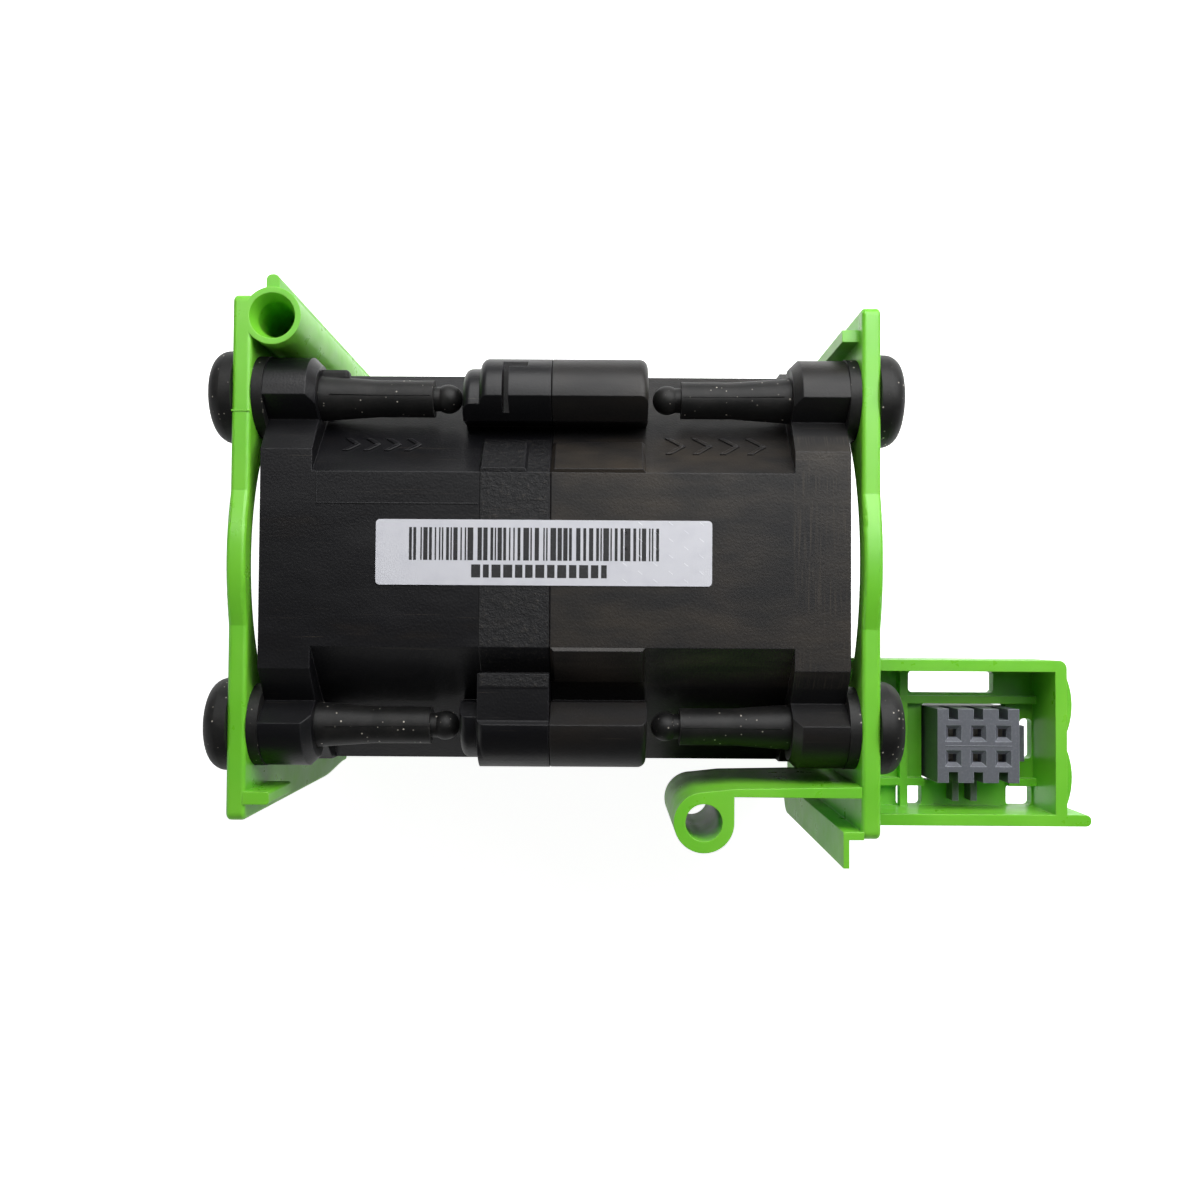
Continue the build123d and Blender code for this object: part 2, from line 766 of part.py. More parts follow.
def cage_windows():
    """The floor's openings: the connector's port, the slot above it and the small ports."""
    port = Pos(connector_x, connector_y) * RectangleRounded(
        connector_width + 2 * side_gap, connector_height + 2 * side_gap, port_rounding)
    slot_y = cage_top_y - cage_wall - slot_margin - slot_width / 2
    slot = Pos(connector_x - slot_shift, slot_y) * RectangleRounded(
        slot_length, slot_width, port_rounding)
    side_x = cage_end_x - cage_wall - side_port_margin - side_port_width / 2
    side = Pos(side_x, connector_y + side_port_rise) * RectangleRounded(
        side_port_width, side_port_length, port_rounding)
    low_y = cage_bottom_y + cage_wall + port_width / 2
    gap = connector_width / 2 + side_gap + port_length / 2
    lower = [
        Pos(connector_x + place, low_y) * RectangleRounded(
            port_length, port_width, port_rounding)
        for place in (-gap, gap)
    ]
    return [port, slot, side, *lower]


def contact_places():
    """Centres of the contacts in (X, Y)."""
    return [
        (connector_x + (column - (columns - 1) / 2) * pitch,
         connector_y + (row - (rows - 1) / 2) * pitch)
        for column in range(columns) for row in range(rows)
    ]


def connector_housing():
    """The grey receptacle: funnel mouths, key notches, ears and a collar below the floor."""
    low_z = connector_face_z - connector_length
    x0 = connector_x - connector_width / 2
    x1 = connector_x + connector_width / 2
    y0 = connector_y - connector_height / 2
    y1 = connector_y + connector_height / 2
    body = box_between(x0, x1, y0, y1, low_z, connector_face_z)
    collar_top = cage_low_z - seat_gap
    grow = side_gap + collar_width
    body += box_between(x0 - grow, x1 + grow, y0, y1, collar_top - collar_height, collar_top)
    for sign in (-1, 1):
        ear_x = connector_x - ear_shift + sign * ear_spacing / 2
        body += box_between(
            ear_x - ear_width / 2, ear_x + ear_width / 2, y0 - ear_reach, y0 + weld / 2,
            cage_floor_z + seat_gap, cage_floor_z + seat_gap + ear_height)
    body += box_between(
        x1 - weld, x1 + latch_reach, connector_y - latch_width / 2,
        connector_y + latch_width / 2, cage_floor_z + seat_gap,
        cage_floor_z + seat_gap + latch_height)
    for x, y in contact_places():
        body -= along_z(
            Pos(x, y) * Rectangle(contact_hole, contact_hole), low_z, connector_face_z)
        body -= along_z(
            Pos(x, y) * Rectangle(contact_cavity, contact_cavity), low_z,
            connector_face_z - contact_mouth)
        body -= Pos(x, y, connector_face_z) * mouth_funnel()
    key = Pos(connector_x, connector_y, connector_face_z - key_length / 2) * Box(
        key_width, key_depth, key_length)
    for place in GridLocations(pitch, connector_height - key_depth, columns, 2):
        body -= place * key
    return body


def mouth_funnel():
    """The sloped lead-in of one contact hole, with its wide end at Z = 0."""
    wide = contact_hole + 2 * mouth_chamfer
    low = Pos(0, 0, -mouth_chamfer) * Rectangle(contact_hole, contact_hole)
    return loft([low, Rectangle(wide, wide)])


def contact_sockets():
    """Square spring sockets in the receptacle's cavities."""
    top = connector_face_z - contact_mouth - seat_gap
    outer = contact_cavity - 2 * seat_gap
    inner = outer - 2 * contact_wall
    section = Rectangle(outer, outer) - Rectangle(inner, inner)
    return [along_z(Pos(x, y) * section, top - contact_length, top) for x, y in contact_places()]


def isolator_profile(end, wall, face, flange_inner):
    """Half section of an isolator along +X: domed head, neck, flange, shank, tail, ball."""
    head = face + head_height
    ball_start = tail_end_x - tail_neck_length
    ball_centre = ball_start - sqrt(ball_radius**2 - tail_neck_radius**2)
    tip = ball_centre - ball_radius
    front = Polyline((tip, 0), (head, 0), (head, head_face_radius))
    dome = ThreePointArc(
        (head, head_face_radius), (face + head_dome_height, head_dome_radius),
        (face + head_rim, head_radius))
    stem = Polyline(
        (face + head_rim, head_radius), (face, head_radius), (face, neck_radius),
        (wall, neck_radius), (wall, flange_radius), (end, flange_radius), (end, shank_radius),
        (flange_inner, shank_radius), (flange_inner - tail_flare, tail_radius),
        (tail_end_x, tail_radius), (tail_end_x, tail_neck_radius),
        (ball_start, tail_neck_radius))
    ball = ThreePointArc((ball_start, tail_neck_radius), (ball_centre, ball_radius), (tip, 0))
    return make_face([*front.edges(), dome, *stem.edges(), ball])


def isolators(side):
    """The four rubber isolators of one end."""
    if side < 0:
        stations = (-inlet_end_x, -inlet_wall_x, -inlet_face_x, -inlet_end_x - inlet_flange)
    else:
        stations = (outlet_end_x, outlet_wall_x, outlet_face_x, outlet_end_x - outlet_flange)
    solid = revolve(isolator_profile(*stations), Axis.X)
    if side < 0:
        solid = Rot(0, 0, 180) * solid
    return [Pos(0, y, axis_z + z) * solid for y, z in HOLE_PLACES]


def label():
    """The thin label across the seam on the near flat."""
    place = Pos(seam_x + label_shift_x, label_shift_y)
    sketch = place * RectangleRounded(label_length, label_width, label_corner)
    return along_z(sketch, near_z, near_z + label_thickness)


def motor_pieces(side):
    """Every piece of one motor and its impeller, by name, in the motor's own frame."""
    return {
        "impeller": [impeller(side)],
        "rotor_cup": [rotor_cup()],
        "magnet_ring": [magnet_ring()],
        "shaft": [shaft()],
        "retaining_clip": [retaining_clip()],
        "preload_spring": [preload_spring()],
        "bearings": bearings(),
        "bearing_tube": [bearing_tube()],
        "stator_core": [stator_core()],
        "stator_coils": stator_coils(),
        "circuit_board": [circuit_board()],
    }


def write(name, solids):
    """Write one node's STEP file from its list of solids."""
    shape = solids[0] if len(solids) == 1 else Compound(children=list(solids))
    export_step(shape, f"parts/{name}.step")


def main():
    """Build every node and write it."""
    os.makedirs("parts", exist_ok=True)
    write("carrier_inlet_wall", [inlet_wall()])
    write("carrier_outlet_wall", [outlet_wall()])
    write("carrier_guide_arm", [guide_arm()])
    write("carrier_bridge", [bridge()])
    write("carrier_connector_cage", [connector_cage()])
    write("connector_housing", [connector_housing()])
    write("contact_sockets", contact_sockets())
    write("label", [label()])
    for side, end in ((-1, "inlet"), (1, "outlet")):
        write(f"{end}_housing", [housing(side)])
        write(f"{end}_isolators", isolators(side))
        for name, solids in motor_pieces(side).items():
            write(f"{end}_{name}", [place_motor(solid, side) for solid in solids])


main()
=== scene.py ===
"""Looks of the server fan module: lime carrier, black fan pair, isolators and receptacle.

Every length in this file is in millimetres until a mesh is made, where MM turns it to metres.
"""

import logging
import math
import random
from dataclasses import dataclass, field
from enum import Enum

import bmesh
import bpy
from mathutils import Matrix, Vector


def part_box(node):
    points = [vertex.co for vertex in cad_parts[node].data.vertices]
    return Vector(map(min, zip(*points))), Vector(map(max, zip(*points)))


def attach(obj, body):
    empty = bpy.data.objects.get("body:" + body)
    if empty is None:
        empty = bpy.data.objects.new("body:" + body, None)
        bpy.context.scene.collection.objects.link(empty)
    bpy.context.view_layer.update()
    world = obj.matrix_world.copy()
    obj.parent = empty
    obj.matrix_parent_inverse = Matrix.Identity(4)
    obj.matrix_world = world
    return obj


MM = 0.001
SLOPE = math.radians(45)
EDGE_LIKENESS = (0.99, 0.92)
LOG = logging.getLogger("server_fan_module")

Pair = tuple[float, float]
Triple = tuple[float, float, float]

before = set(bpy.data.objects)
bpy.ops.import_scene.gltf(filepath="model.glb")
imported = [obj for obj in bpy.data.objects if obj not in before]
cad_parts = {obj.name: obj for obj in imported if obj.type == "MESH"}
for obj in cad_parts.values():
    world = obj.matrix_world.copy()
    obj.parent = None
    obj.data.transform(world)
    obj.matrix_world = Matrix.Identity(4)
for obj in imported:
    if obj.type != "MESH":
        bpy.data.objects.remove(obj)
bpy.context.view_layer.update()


class End(Enum):
    """The two ends of the fan."""

    INLET = "inlet"
    OUTLET = "outlet"


def linear(hex_color: str, alpha: float = 1.0) -> tuple[float, float, float, float]:
    """Turn an sRGB hex colour to linear values.

    Args:
        hex_color: Six hex digits.
        alpha: The fourth value.

    Returns:
        Red, green, blue and alpha, linear.
    """
    channels = [int(hex_color[start:start + 2], 16) / 255 for start in (0, 2, 4)]
    red, green, blue = (
        value / 12.92 if value <= 0.04045 else ((value + 0.055) / 1.055) ** 2.4
        for value in channels
    )
    return (red, green, blue, alpha)


def add_node(
    tree: bpy.types.NodeTree,
    kind: str,
    inputs: dict[str | int, object] | None = None,
    **settings: object,
) -> bpy.types.Node:
    """Add one node with its settings, values and links.

    Args:
        tree: The tree that gets the node.
        kind: The node's Blender type.
        inputs: A value or an output socket for each named or numbered input.
        settings: The node's own properties.

    Returns:
        The new node.
    """
    node = tree.nodes.new(kind)
    for name, value in settings.items():
        setattr(node, name, value)
    for place, value in (inputs or {}).items():
        if isinstance(value, bpy.types.NodeSocket):
            tree.links.new(value, node.inputs[place])
        else:
            node.inputs[place].default_value = value
    return node


def per_mm(size: float) -> float:
    """Scale of a pattern whose features are this many millimetres across."""
    return 1 / (size * MM)


class Finish:
    """What all finishes share: an object-space start and a shader end."""

    name: str

    def start(self) -> tuple[bpy.types.Material, bpy.types.NodeTree, bpy.types.NodeSocket]:
        """Make the empty material.

        Returns:
            The material, its tree and the object coordinates.
        """
        material = bpy.data.materials.new(self.name)
        material.use_nodes = True
        tree = material.node_tree
        tree.nodes.clear()
        place = add_node(tree, "ShaderNodeTexCoord").outputs["Object"]
        return material, tree, place

    def end(self, tree: bpy.types.NodeTree, shader: bpy.types.Node) -> None:
        """Link the shader to the material's surface.

        Args:
            tree: The material's tree.
            shader: The node whose first output is the surface.
        """
        add_node(tree, "ShaderNodeOutputMaterial", {"Surface": shader.outputs[0]})


def mask(
    tree: bpy.types.NodeTree, value: bpy.types.NodeSocket, low: float, high: float
) -> bpy.types.NodeSocket:
    """Turn a pattern to a soft 0 to 1 mask.

    Args:
        tree: The material's tree.
        value: The pattern.
        low: The value that becomes 0.
        high: The value that becomes 1.

    Returns:
        The mask.
    """
    return add_node(
        tree, "ShaderNodeMapRange", {"Value": value, "From Min": low, "From Max": high},
        interpolation_type="SMOOTHSTEP").outputs["Result"]


def blend_colors(
    tree: bpy.types.NodeTree,
    share: bpy.types.NodeSocket,
    first: object,
    second: object,
) -> bpy.types.NodeSocket:
    """Blend two colours by a mask.

    Args:
        tree: The material's tree.
        share: How much of the second colour shows.
        first: A linear colour or a socket.
        second: A linear colour or a socket.

    Returns:
        The blended colour.
    """
    return add_node(
        tree, "ShaderNodeMix", {0: share, 6: first, 7: second}, data_type="RGBA").outputs[2]


def streaks(
    tree: bpy.types.NodeTree, place: bpy.types.NodeSocket, pitch: Triple, turn: float = 0.0
) -> bpy.types.NodeSocket:
    """Stretched noise that reads as rubbing marks or scratches.

    Args:
        tree: The material's tree.
        place: Object coordinates.
        pitch: Size of a mark along X, Y and Z in millimetres.
        turn: Turn about Z in degrees.

    Returns:
        The noise.
    """
    spread = add_node(
        tree, "ShaderNodeMapping",
        {"Vector": place, "Rotation": (0, 0, math.radians(turn)),
         "Scale": tuple(per_mm(size) for size in pitch)})
    return add_node(
        tree, "ShaderNodeTexNoise",
        {"Vector": spread.outputs[0], "Scale": 1.0, "Detail": 3.0, "Roughness": 0.6},
    ).outputs["Fac"]


def edge_highlight_mask(
    tree: bpy.types.NodeTree, rounded: bpy.types.NodeSocket
) -> bpy.types.NodeSocket:
    """Mask the sharp edges, where a rounded normal leaves the face's own.

    Args:
        tree: The material's tree.
        rounded: The normal of a bevel node.

    Returns:
        The mask, 1 on the edges.
    """
    flat = add_node(tree, "ShaderNodeNewGeometry").outputs["Normal"]
    likeness = add_node(
        tree, "ShaderNodeVectorMath", {0: flat, 1: rounded}, operation="DOT_PRODUCT")
    return mask(tree, likeness.outputs["Value"], *EDGE_LIKENESS)


@dataclass(frozen=True)
class MouldedAbs(Finish):
    """Injection moulded ABS, dyed lime: glossy, a little milky, with convex edges painted lighter
    as a painted highlight.
    """

    name: str = "abs_lime_moulded"
    color: str = "72CB30"
    flow_color: str = "7ED33A"
    edge_highlight_color: str = "90DE50"
    scuff_color: str = "5F9E36"
    roughness: float = 0.3
    ior: float = 1.53
    flow_mm: float = 9.0
    scuff_mm: float = 3.5
    grit_mm: float = 0.35
    grit_depth_mm: float = 0.01
    edge_mm: float = 0.12
    flow_range: Pair = (0.35, 0.7)
    scuff_range: Pair = (0.73, 0.85)
    rough_from: Pair = (0.3, 0.75)
    rough_shift: Pair = (-0.05, 0.12)
    milkiness: float = 0.12
    milk_radius: Triple = (0.6, 1.0, 0.25)
    milk_mm: float = 1.2

    def build(self) -> bpy.types.Material:
        """Build the material."""
        material, tree, place = self.start()
        # Slow flow marks from the mould give the eye a slightly uneven green.
        flow = add_node(
            tree, "ShaderNodeTexNoise",
            {"Vector": place, "Scale": per_mm(self.flow_mm), "Detail": 2.0}).outputs["Fac"]
        color = blend_colors(
            tree, mask(tree, flow, *self.flow_range), linear(self.color),
            linear(self.flow_color))
        # Handling leaves a few small dull smudges.
        scuff = add_node(
            tree, "ShaderNodeTexNoise",
            {"Vector": place, "Scale": per_mm(self.scuff_mm), "Detail": 4.0, "Roughness": 0.65},
        ).outputs["Fac"]
        smudge = mask(tree, scuff, *self.scuff_range)
        color = blend_colors(tree, smudge, color, linear(self.scuff_color))
        rough = add_node(
            tree, "ShaderNodeMapRange",
            {"Value": scuff, "From Min": self.rough_from[0], "From Max": self.rough_from[1],
             "To Min": self.roughness + self.rough_shift[0],
             "To Max": self.roughness + self.rough_shift[1]})
        grit = add_node(
            tree, "ShaderNodeTexNoise",
            {"Vector": place, "Scale": per_mm(self.grit_mm), "Detail": 1.0})
        edge = add_node(tree, "ShaderNodeBevel", {"Radius": self.edge_mm * MM}, samples=4)
        # Convex edges are painted paler here, as a painted highlight.
        color = blend_colors(
            tree, edge_highlight_mask(tree, edge.outputs[0]), color, linear(self.edge_highlight_color))
        bump = add_node(
            tree, "ShaderNodeBump",
            {"Height": grit.outputs["Fac"], "Strength": 0.1,
             "Distance": self.grit_depth_mm * MM, "Normal": edge.outputs[0]})
        shader = add_node(
            tree, "ShaderNodeBsdfPrincipled",
            {"Base Color": color, "Roughness": rough.outputs[0], "IOR": self.ior,
             "Normal": bump.outputs[0], "Subsurface Weight": self.milkiness,
             "Subsurface Radius": self.milk_radius, "Subsurface Scale": self.milk_mm * MM})
        self.end(tree, shader)
        return material


@dataclass(frozen=True)
class MouldedPbt(Finish):
    """Glass-filled PBT, moulded in satin black: brownish haze from rubbing and painted sheen,
    lightly scratched, edges paler from wear and painted highlight.
    """

    name: str = "pbt_black_moulded"
    color: str = "101012"
    rub_and_sheen_color: str = "312C27"
    scratch_color: str = "453F39"
    glint_color: str = "34312D"
    edge_highlight_color: str = "2A2A2D"
    roughness: float = 0.42
    ior: float = 1.38
    cloud_mm: float = 14.0
    grain_mm: float = 0.22
    grain_share: float = 0.15
    grain_depth_mm: float = 0.16
    coarse_mm: float = 0.45
    edge_mm: float = 0.14
    boss_y: float = 12.3
    boss_blend: float = 0.4
    boss_haze: float = 0.33
    rub_and_sheen_share: float = 0.5
    haze_low: Pair = (0.6, 0.36)
    haze_high: Pair = (0.95, 0.15)
    textured_band: Pair | None = None
    textured_roughness: float = 0.14
    glint_range: Pair = (0.54, 0.74)
    streaky_band: Pair | None = None
    streak_pitch: Triple = (0.2, 6.0, 6.0)
    streak_range: Pair = (0.4, 0.85)
    band_blend: float = 0.1
    along_pitch: Triple = (16.0, 0.1, 0.4)
    along_turn: float = 3.0
    along_range: Pair = (0.67, 0.78)
    slant_pitch: Triple = (12.0, 0.1, 0.4)
    slant_turn: float = -38.0
    slant_range: Pair = (0.7, 0.8)
    rough_shift: Pair = (0.08, -0.07)

    def on_flats(
        self, tree: bpy.types.NodeTree, place: bpy.types.NodeSocket
    ) -> bpy.types.NodeSocket:
        """Mask the flats and slopes, without the bosses at the corners.

        Args:
            tree: The material's tree.
            place: Object coordinates.

        Returns:
            The mask.
        """
        across = add_node(tree, "ShaderNodeSeparateXYZ", {0: place}).outputs[1]
        size = add_node(
            tree, "ShaderNodeMath", {0: across}, operation="ABSOLUTE").outputs[0]
        return mask(tree, size, self.boss_y * MM, (self.boss_y - self.boss_blend) * MM)

    def inside(
        self, tree: bpy.types.NodeTree, place: bpy.types.NodeSocket, band: Pair
    ) -> bpy.types.NodeSocket:
        """Mask the part of the flats between two places along X.

        Args:
            tree: The material's tree.
            place: Object coordinates.
            band: Where the band starts and ends.

        Returns:
            The mask.
        """
        along = add_node(tree, "ShaderNodeSeparateXYZ", {0: place}).outputs[0]
        low, high = (value * MM for value in band)
        blend = self.band_blend * MM
        between = add_node(
            tree, "ShaderNodeMath",
            {0: mask(tree, along, low, low + blend), 1: mask(tree, along, high, high - blend)},
            operation="MULTIPLY").outputs[0]
        return add_node(
            tree, "ShaderNodeMath", {0: between, 1: self.on_flats(tree, place)},
            operation="MULTIPLY").outputs[0]

    def build(self) -> bpy.types.Material:
        """Build the material."""
        material, tree, place = self.start()
        # The flats carry a warm grey haze in clouds: partly handling that polishes them, partly
        # painted sheen.
        cloud = streaks(
            tree, place, (self.cloud_mm, self.cloud_mm / 3, self.cloud_mm / 3))
        low, high = (
            start - fall * self.rub_and_sheen_share for start, fall in (self.haze_low, self.haze_high))
        haze = mask(tree, cloud, low, high)
        # The bosses keep only a part of the haze and its painted sheen.
        reach = add_node(
            tree, "ShaderNodeMapRange",
            {"Value": self.on_flats(tree, place), "To Min": self.boss_haze}).outputs[0]
        haze = add_node(
            tree, "ShaderNodeMath", {0: haze, 1: reach}, operation="MULTIPLY").outputs[0]
        if self.streaky_band:
            # Pale streaks run round the fan on the flange: partly rubbing across it, partly
            # painted reflection.
            strokes = mask(
                tree, streaks(tree, place, self.streak_pitch), *self.streak_range)
            strokes = add_node(
                tree, "ShaderNodeMath",
                {0: strokes, 1: self.inside(tree, place, self.streaky_band)},
                operation="MULTIPLY").outputs[0]
            haze = add_node(
                tree, "ShaderNodeMath", {0: haze, 1: strokes}, operation="MAXIMUM").outputs[0]
        color = blend_colors(tree, haze, linear(self.color), linear(self.rub_and_sheen_color))
        # Fine scratches run mostly along the fan, a few slantwise.
        along = mask(
            tree, streaks(tree, place, self.along_pitch, self.along_turn), *self.along_range)
        slant = mask(
            tree, streaks(tree, place, self.slant_pitch, self.slant_turn), *self.slant_range)
        marks = add_node(
            tree, "ShaderNodeMath", {0: along, 1: slant}, operation="MAXIMUM").outputs[0]
        color = blend_colors(tree, marks, color, linear(self.scratch_color))
        rough = add_node(
            tree, "ShaderNodeMapRange",
            {"Value": cloud, "From Min": 0.3, "From Max": 0.7,
             "To Min": self.roughness + self.rough_shift[0],
             "To Max": self.roughness + self.rough_shift[1]}).outputs[0]
        grain = add_node(
            tree, "ShaderNodeTexNoise",
            {"Vector": place, "Scale": per_mm(self.grain_mm), "Detail": 2.0}).outputs["Fac"]
        grain = add_node(
            tree, "ShaderNodeMath", {0: grain, 1: self.grain_share},
            operation="MULTIPLY").outputs[0]
        if self.textured_band:
            # A spark-eroded band in the mould leaves a coarse leathery grain, whose crests are
            # painted paler as painted glints.
            coarse = add_node(
                tree, "ShaderNodeTexNoise",
                {"Vector": place, "Scale": per_mm(self.coarse_mm), "Detail": 4.0,
                 "Roughness": 0.75},
            ).outputs["Fac"]
            inside = self.inside(tree, place, self.textured_band)
            glints = add_node(
                tree, "ShaderNodeMath",
                {0: mask(tree, coarse, *self.glint_range), 1: inside},
                operation="MULTIPLY").outputs[0]
            color = blend_colors(tree, glints, color, linear(self.glint_color))
            grain = add_node(
                tree, "ShaderNodeMix", {0: inside, 2: grain, 3: coarse},
                data_type="FLOAT").outputs[0]
            rough = add_node(
                tree, "ShaderNodeMix",
                {0: inside, 2: rough, 3: self.roughness + self.textured_roughness},
                data_type="FLOAT").outputs[0]
        edge = add_node(tree, "ShaderNodeBevel", {"Radius": self.edge_mm * MM}, samples=4)
        # Sharp edges are painted paler: partly wear, partly painted highlight.
        color = blend_colors(
            tree, edge_highlight_mask(tree, edge.outputs[0]), color, linear(self.edge_highlight_color))
        bump = add_node(
            tree, "ShaderNodeBump",
            {"Height": grain, "Strength": 0.7, "Distance": self.grain_depth_mm * MM,
             "Normal": edge.outputs[0]})
        shader = add_node(
            tree, "ShaderNodeBsdfPrincipled",
            {"Base Color": color, "Roughness": rough, "IOR": self.ior,
             "Normal": bump.outputs[0]})
        self.end(tree, shader)
        return material


@dataclass(frozen=True)
class DustyRubber(Finish):
    """Compression moulded black rubber: dull, a little grey from dust, with pale specks."""

    name: str = "rubber_black_moulded"
    color: str = "0F0F0F"
    dusty_color: str = "1F1E1D"
    speck_color: str = "C8C2B6"
    roughness: float = 0.5
    ior: float = 1.36
    speck_mm: float = 0.5
    speck_range: Pair = (0.22, 0.1)
    speck_chance: Pair = (0.7, 1.0)
    dust_mm: float = 3.0
    dust_range: Pair = (0.4, 0.75)
    pore_mm: float = 0.3
    pore_depth_mm: float = 0.03

    def build(self) -> bpy.types.Material:
        """Build the material."""
        material, tree, place = self.start()
        dust = add_node(
            tree, "ShaderNodeTexNoise",
            {"Vector": place, "Scale": per_mm(self.dust_mm), "Detail": 4.0, "Roughness": 0.7},
        ).outputs["Fac"]
        color = blend_colors(
            tree, mask(tree, dust, *self.dust_range), linear(self.color),
            linear(self.dusty_color))
        # Dust specks are dots at the middle of cells, paler where the cell's own value is higher.
        cells = add_node(
            tree, "ShaderNodeTexVoronoi",
            {"Vector": place, "Scale": per_mm(self.speck_mm), "Randomness": 1.0})
        dots = mask(tree, cells.outputs["Distance"], *self.speck_range)
        chance = add_node(tree, "ShaderNodeSeparateColor", {0: cells.outputs["Color"]})
        kept = mask(tree, chance.outputs[0], *self.speck_chance)
        specks = add_node(
            tree, "ShaderNodeMath", {0: dots, 1: kept}, operation="MULTIPLY").outputs[0]
        color = blend_colors(tree, specks, color, linear(self.speck_color))
        pores = add_node(
            tree, "ShaderNodeTexNoise",
            {"Vector": place, "Scale": per_mm(self.pore_mm), "Detail": 3.0}).outputs["Fac"]
        bump = add_node(
            tree, "ShaderNodeBump",
            {"Height": pores, "Strength": 0.4, "Distance": self.pore_depth_mm * MM})
        shader = add_node(
            tree, "ShaderNodeBsdfPrincipled",
            {"Base Color": color, "Roughness": self.roughness, "IOR": self.ior,
             "Normal": bump.outputs[0], "Sheen Weight": 0.02, "Sheen Roughness": 0.5})
        self.end(tree, shader)
        return material


@dataclass(frozen=True)
class ReceptaclePlastic(Finish):
    """Moulded grey thermoplastic of the receptacle: dull, faintly blue, with edges painted pale as
    a painted highlight.
    """

    name: str = "receptacle_grey_moulded"
    color: str = "5B5E66"
    worn_color: str = "676972"
    edge_highlight_color: str = "A0A2AC"
    roughness: float = 0.5
    ior: float = 1.55
    grain_mm: float = 0.25
    grain_depth_mm: float = 0.02
    edge_mm: float = 0.1

    def build(self) -> bpy.types.Material:
        """Build the material."""
        material, tree, place = self.start()
        grain = add_node(
            tree, "ShaderNodeTexNoise",
            {"Vector": place, "Scale": per_mm(self.grain_mm), "Detail": 2.0}).outputs["Fac"]
        color = blend_colors(
            tree, mask(tree, grain, 0.45, 0.8), linear(self.color), linear(self.worn_color))
        edge = add_node(tree, "ShaderNodeBevel", {"Radius": self.edge_mm * MM}, samples=4)
        # Sharp edges are painted pale here, as a painted highlight.
        color = blend_colors(
            tree, edge_highlight_mask(tree, edge.outputs[0]), color, linear(self.edge_highlight_color))
        bump = add_node(
            tree, "ShaderNodeBump",
            {"Height": grain, "Strength": 0.25, "Distance": self.grain_depth_mm * MM,
             "Normal": edge.outputs[0]})
        shader = add_node(
            tree, "ShaderNodeBsdfPrincipled",
            {"Base Color": color, "Roughness": self.roughness, "IOR": self.ior,
             "Normal": bump.outputs[0]})
        self.end(tree, shader)
        return material


@dataclass(frozen=True)
class LabelFilm(Finish):
    """White polyester label film: smooth, faintly blue, with a very fine mottle."""

    name: str = "polyester_white_film"
    color: str = "D4D5DC"
    mottle_color: str = "CDCED6"
    roughness: float = 0.34
    ior: float = 1.6
    mottle_mm: float = 1.5
    mottle_depth_mm: float = 0.02

    def build(self) -> bpy.types.Material:
        """Build the material."""
        material, tree, place = self.start()
        mottle = add_node(
            tree, "ShaderNodeTexNoise",
            {"Vector": place, "Scale": per_mm(self.mottle_mm), "Detail": 3.0}).outputs["Fac"]
        color = blend_colors(
            tree, mask(tree, mottle, 0.4, 0.8), linear(self.color), linear(self.mottle_color))
        bump = add_node(
            tree, "ShaderNodeBump",
            {"Height": mottle, "Strength": 0.08, "Distance": self.mottle_depth_mm * MM})
        shader = add_node(
            tree, "ShaderNodeBsdfPrincipled",
            {"Base Color": color, "Roughness": self.roughness, "IOR": self.ior,
             "Normal": bump.outputs[0]})
        self.end(tree, shader)
        return material


@dataclass(frozen=True)
class ThermalInk(Finish):
    """Thermal transfer ink: a thin dull black film, thinner in places."""

    name: str = "thermal_ink_black"
    color: str = "17171A"
    thin_color: str = "2C2C31"
    thin_mm: float = 0.3
    roughness: float = 0.5
    ior: float = 1.5

    def build(self) -> bpy.types.Material:
        """Build the material."""
        material, tree, place = self.start()
        thin = add_node(
            tree, "ShaderNodeTexNoise",
            {"Vector": place, "Scale": per_mm(self.thin_mm), "Detail": 2.0}).outputs["Fac"]
        color = blend_colors(
            tree, mask(tree, thin, 0.5, 0.8), linear(self.color), linear(self.thin_color))
        shader = add_node(
            tree, "ShaderNodeBsdfPrincipled",
            {"Base Color": color, "Roughness": self.roughness, "IOR": self.ior})
        self.end(tree, shader)
        return material


@dataclass(frozen=True)
class WorkedMetal(Finish):
    """A metal whose marks run round the fan's axis: ground, turned, drawn or plated."""

    name: str
    color: str
    dull_color: str
    roughness: float
    mark_mm: float = 0.15
    mark_length_mm: float = 2.5
    cloud_mm: float = 4.0
    mark_depth_mm: float = 0.01

    def build(self) -> bpy.types.Material:
        """Build the material."""
        material, tree, place = self.start()
        marks = streaks(
            tree, place, (self.mark_mm, self.mark_length_mm, self.mark_length_mm))
        clouds = add_node(
            tree, "ShaderNodeTexNoise",
            {"Vector": place, "Scale": per_mm(self.cloud_mm), "Detail": 2.0}).outputs["Fac"]
        color = blend_colors(
            tree, mask(tree, clouds, 0.35, 0.75), linear(self.color), linear(self.dull_color))
        rough = add_node(
            tree, "ShaderNodeMapRange",
            {"Value": marks, "From Min": 0.25, "From Max": 0.75,
             "To Min": self.roughness * 0.75, "To Max": self.roughness * 1.3})
        bump = add_node(
            tree, "ShaderNodeBump",
            {"Height": marks, "Strength": 0.2, "Distance": self.mark_depth_mm * MM})
        shader = add_node(
            tree, "ShaderNodeBsdfPrincipled",
            {"Base Color": color, "Metallic": 1.0, "Roughness": rough.outputs[0],
             "Normal": bump.outputs[0]})
        self.end(tree, shader)
        return material


